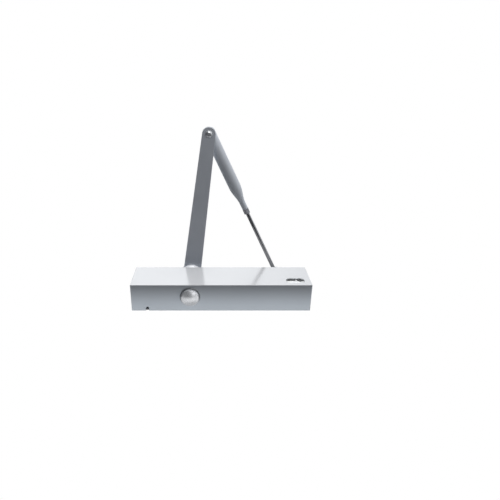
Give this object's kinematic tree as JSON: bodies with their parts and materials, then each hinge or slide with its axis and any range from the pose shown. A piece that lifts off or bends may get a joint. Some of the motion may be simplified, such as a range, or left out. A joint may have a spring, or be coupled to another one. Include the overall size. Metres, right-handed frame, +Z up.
{
  "type": "door closer",
  "caption": "Surface-mounted hydraulic door closer: box-shaped cover over a rack and pinion cylinder, with a flat main arm, an adjustable forearm and a foot bracket.",
  "frame": {"origin": "middle of the mounting plate's rear face, which lies on the door", "axes": "+X along the body towards the indicator window, +Y into the door, +Z up along the pinion shaft, towards the arm"},
  "size_m": [0.287, 0.2793, 0.1144],
  "materials": {
    "cover_paint": "silver satin paint",
    "arm_paint": "silver satin paint",
    "cap_metal": "turned bright metal",
    "zinc_steel": "bright zinc plate",
    "rod_steel": "drawn steel",
    "cast_aluminium": "die cast",
    "hard_steel": "ground",
    "spring_steel": "oiled wire",
    "brass": "turned",
    "seal_rubber": "matt",
    "dark_plastic": "matt",
    "pointer_plastic": "gloss",
    "clear_window": "clear acrylic"
  },
  "bodies": {
    "case": {"mounting_plate": "zinc_steel", "housing": "cast_aluminium", "housing_screws": "zinc_steel", "filler_plug": "zinc_steel", "gallery_plug": "zinc_steel", "left_end_plug": "cast_aluminium", "right_end_plug": "cast_aluminium", "left_plug_seal": "seal_rubber", "right_plug_seal": "seal_rubber", "adjuster_seal": "seal_rubber", "top_gland": "hard_steel", "bottom_gland": "hard_steel", "top_needle_bearing": "hard_steel", "bottom_needle_bearing": "hard_steel", "top_bearing_needles": "hard_steel", "bottom_bearing_needles": "hard_steel", "top_shaft_seal": "seal_rubber", "bottom_shaft_seal": "seal_rubber", "closing_spring": "spring_steel", "cover": "cover_paint", "indicator_window": "clear_window", "indicator_scale": "dark_plastic", "cover_clips": "zinc_steel", "spindle_cap": "cap_metal"},
    "pinion_and_arm": {"pinion_shaft": "hard_steel", "main_arm_hub": "arm_paint", "main_arm": "arm_paint", "arm_washer": "zinc_steel", "arm_screw": "zinc_steel", "knuckle_rivet": "zinc_steel", "knuckle_washer": "dark_plastic", "knuckle_ring": "zinc_steel"},
    "piston": {"rack_piston": "hard_steel", "piston_rings": "dark_plastic", "check_valve_seat": "hard_steel", "check_ball_retainer": "hard_steel"},
    "check_ball": {"check_ball": "hard_steel"},
    "adjuster": {"adjusting_screw": "hard_steel", "adjuster_circlip": "zinc_steel"},
    "spring_seat": {"spring_seat": "hard_steel"},
    "pointer": {"indicator_pointer": "pointer_plastic"},
    "closing_valve": {"closing_valve": "brass", "closing_valve_seal": "seal_rubber"},
    "latching_valve": {"latching_valve": "brass", "latching_valve_seal": "seal_rubber"},
    "backcheck_valve": {"backcheck_valve": "brass", "backcheck_valve_seal": "seal_rubber"},
    "forearm": {"forearm_tube": "arm_paint", "knuckle_bush": "brass", "lock_nut": "zinc_steel"},
    "rod": {"forearm_rod": "rod_steel", "foot_bush": "brass"},
    "foot": {"foot_bracket": "zinc_steel", "foot_pin": "zinc_steel", "foot_ring": "zinc_steel"}
  },
  "joints": [
    {"name": "pinion_turn", "type": "hinge", "parent": "case", "child": "pinion_and_arm", "pos_m": [-0.0495, -0.0255, 0], "axis": [0, 0, 1], "range_deg": [0, 180], "stiffness_Nm_per_rad": 6, "springref_deg": -171.89},
    {"name": "piston_slide", "type": "slide", "parent": "case", "child": "piston", "axis": [1, 0, 0], "range_m": [0, 0.0283], "deforming": ["closing_spring"]},
    {"name": "check_ball_lift", "type": "slide", "parent": "piston", "child": "check_ball", "axis": [-1, 0, 0], "range_m": [0, 0.0012]},
    {"name": "adjuster_turn", "type": "hinge", "parent": "case", "child": "adjuster", "pos_m": [0.12, -0.0255, 0], "axis": [1, 0, 0], "range_deg": [-1800, 1800]},
    {"name": "seat_slide", "type": "slide", "parent": "case", "child": "spring_seat", "axis": [1, 0, 0], "range_m": [-0.0075, 0.0075], "deforming": ["closing_spring"]},
    {"name": "pointer_slide", "type": "slide", "parent": "case", "child": "pointer", "axis": [1, 0, 0], "range_m": [-0.0075, 0.0075]},
    {"name": "closing_valve_turn", "type": "hinge", "parent": "case", "child": "closing_valve", "pos_m": [0, -0.04, -0.0205], "axis": [0, 1, 0], "range_deg": [-360, 360]},
    {"name": "latching_valve_turn", "type": "hinge", "parent": "case", "child": "latching_valve", "pos_m": [0.022, -0.04, -0.0205], "axis": [0, 1, 0], "range_deg": [-360, 360]},
    {"name": "backcheck_valve_turn", "type": "hinge", "parent": "case", "child": "backcheck_valve", "pos_m": [0.044, -0.04, -0.0205], "axis": [0, 1, 0], "range_deg": [-360, 360]},
    {"name": "knuckle_turn", "type": "hinge", "parent": "pinion_and_arm", "child": "forearm", "pos_m": [-0.0192, -0.2688, 0.061], "axis": [0, 0, 1], "range_deg": [-145, 20]},
    {"name": "forearm_length", "type": "slide", "parent": "forearm", "child": "rod", "axis": [0.4297, 0.903, 0], "range_m": [-0.025, 0.03]},
    {"name": "foot_turn", "type": "hinge", "parent": "rod", "child": "foot", "pos_m": [0.1004, -0.0175, 0.061], "axis": [0, 0, 1], "range_deg": [-110, 60]}
  ],
  "couplings": [
    {"joint": "piston_slide", "follows": "pinion_turn", "m_per_rad": 0.009},
    {"joint": "seat_slide", "follows": "adjuster_turn", "m_per_rad": 0.00023873},
    {"joint": "pointer_slide", "follows": "adjuster_turn", "m_per_rad": 0.00023873}
  ]
}
